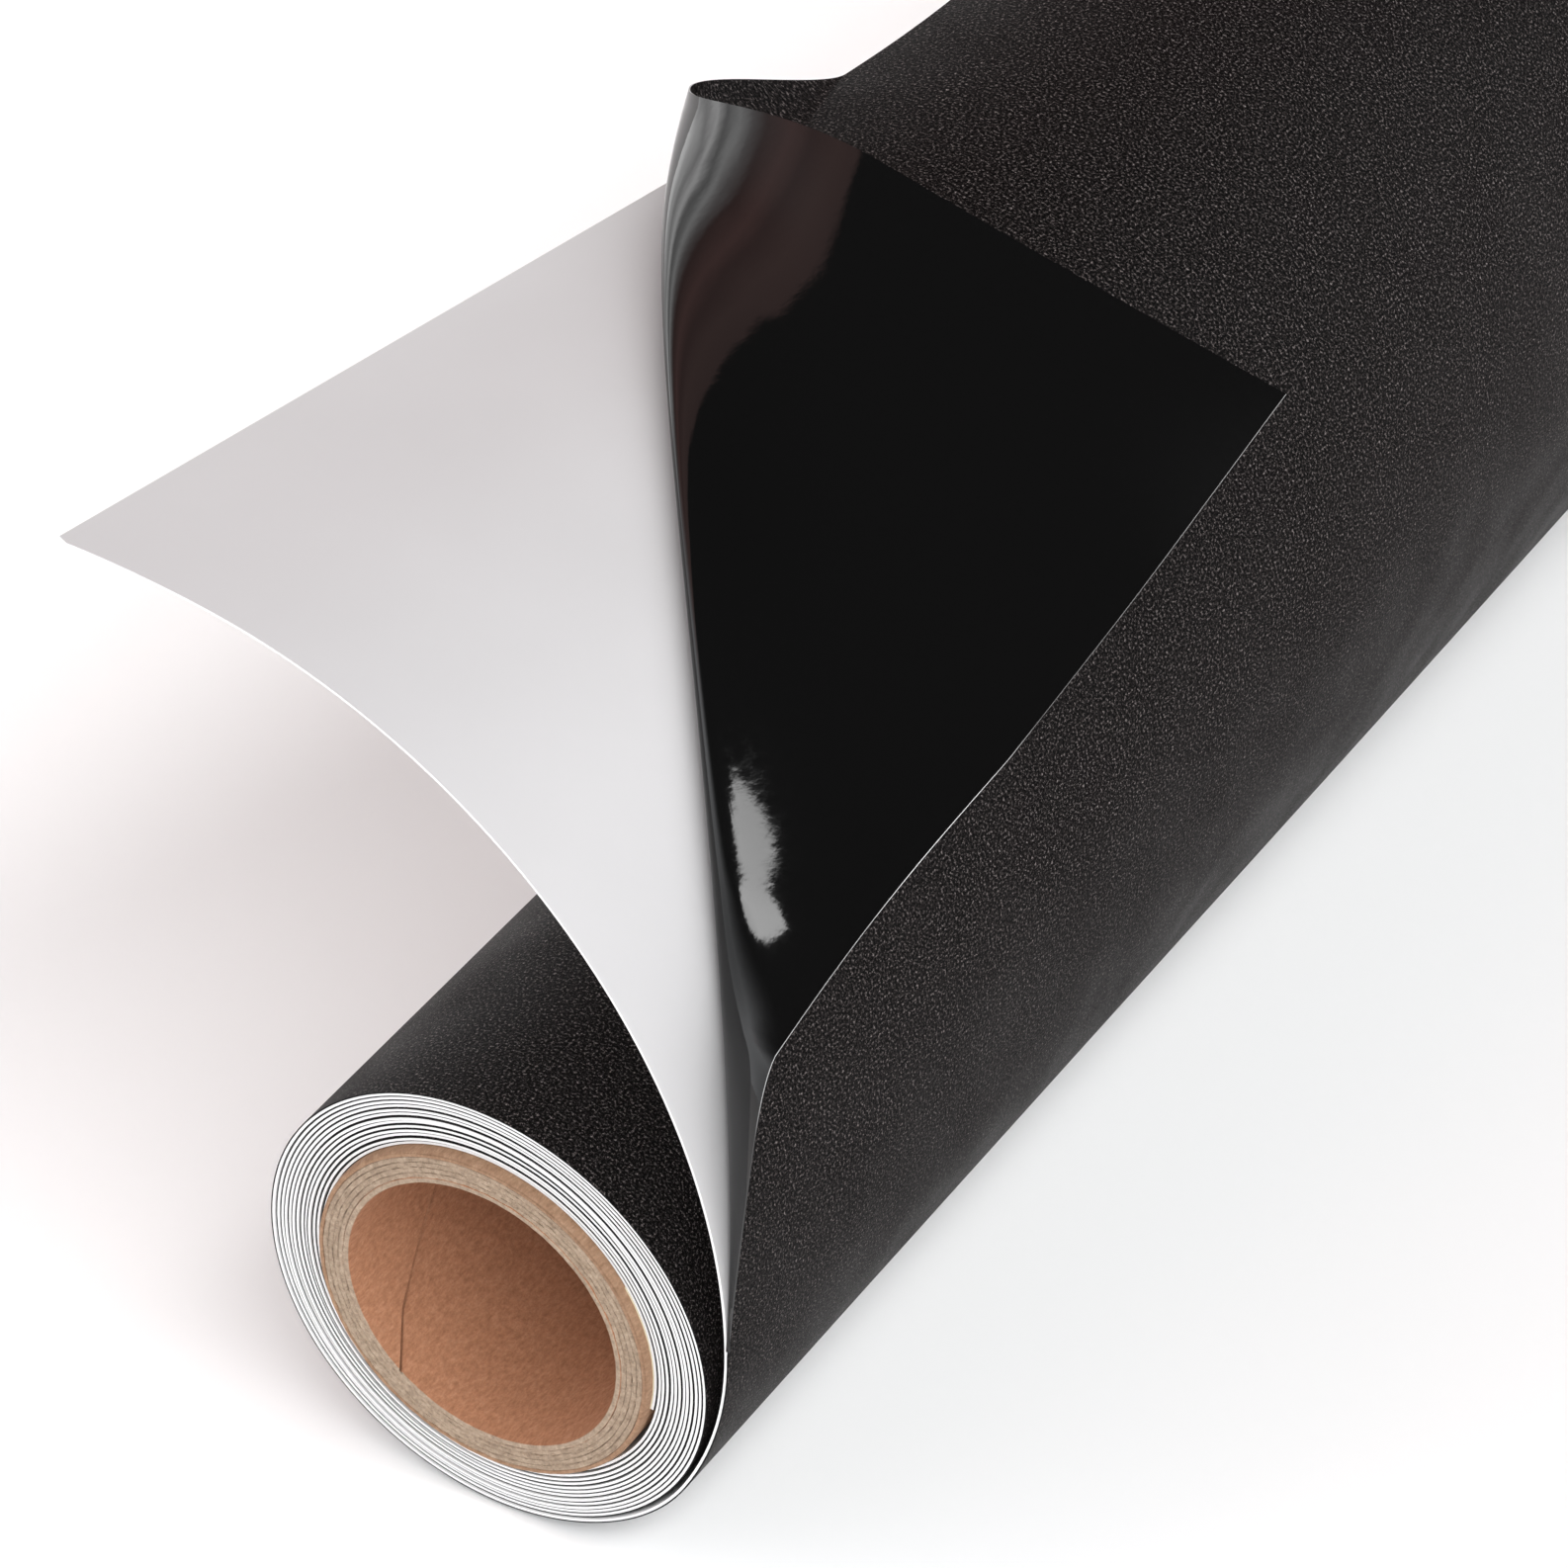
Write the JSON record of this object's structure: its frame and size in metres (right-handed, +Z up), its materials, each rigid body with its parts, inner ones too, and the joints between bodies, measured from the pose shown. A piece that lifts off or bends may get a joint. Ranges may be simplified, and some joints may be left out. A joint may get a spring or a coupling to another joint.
{
  "type": "roll of sign vinyl",
  "caption": "Roll of black self-adhesive vinyl on a paperboard core, its loose end arcing over the roll and one corner peeled off the white liner and folded back.",
  "frame": {"origin": "centre of the core's bore, at the middle of its length", "axes": "+Y along the bore, away from the end whose corner is peeled; +Z up; +X towards the side on which the web leaves the roll"},
  "size_m": [0.0749, 0.3048, 0.0945],
  "materials": {
    "kraft_inner": "smooth brown kraft paper",
    "chipboard": "rough grey-brown board, cut end",
    "kraft_outer": "smooth tan kraft paper",
    "tape": "matte tape",
    "liner": "satin coated release paper",
    "film": "matte, fine-grained black",
    "adhesive_face": "glossy black adhesive face"
  },
  "bodies": {
    "roll": {"core_inner_ply": "kraft_inner", "core_ply_2": "chipboard", "core_ply_3": "chipboard", "core_ply_4": "chipboard", "core_ply_5": "chipboard", "core_outer_ply": "kraft_outer", "starter_tape": "tape", "wound_liner": "liner", "wound_film": "film"},
    "free_web": {"free_liner": "liner", "free_film": "film", "film_fold": "adhesive_face"},
    "flap": {"film_flap": "adhesive_face"}
  },
  "joints": [
    {"name": "unwind", "type": "hinge", "parent": "roll", "child": "free_web", "pos_m": [0, 0, 0], "axis": [0, 1, 0], "range_deg": [0, 60]},
    {"name": "peel", "type": "hinge", "parent": "free_web", "child": "flap", "pos_m": [-0.0013, -0.12, 0.0534], "axis": [0.5044, -0.6875, -0.5224], "range_deg": [-20, 110]}
  ]
}
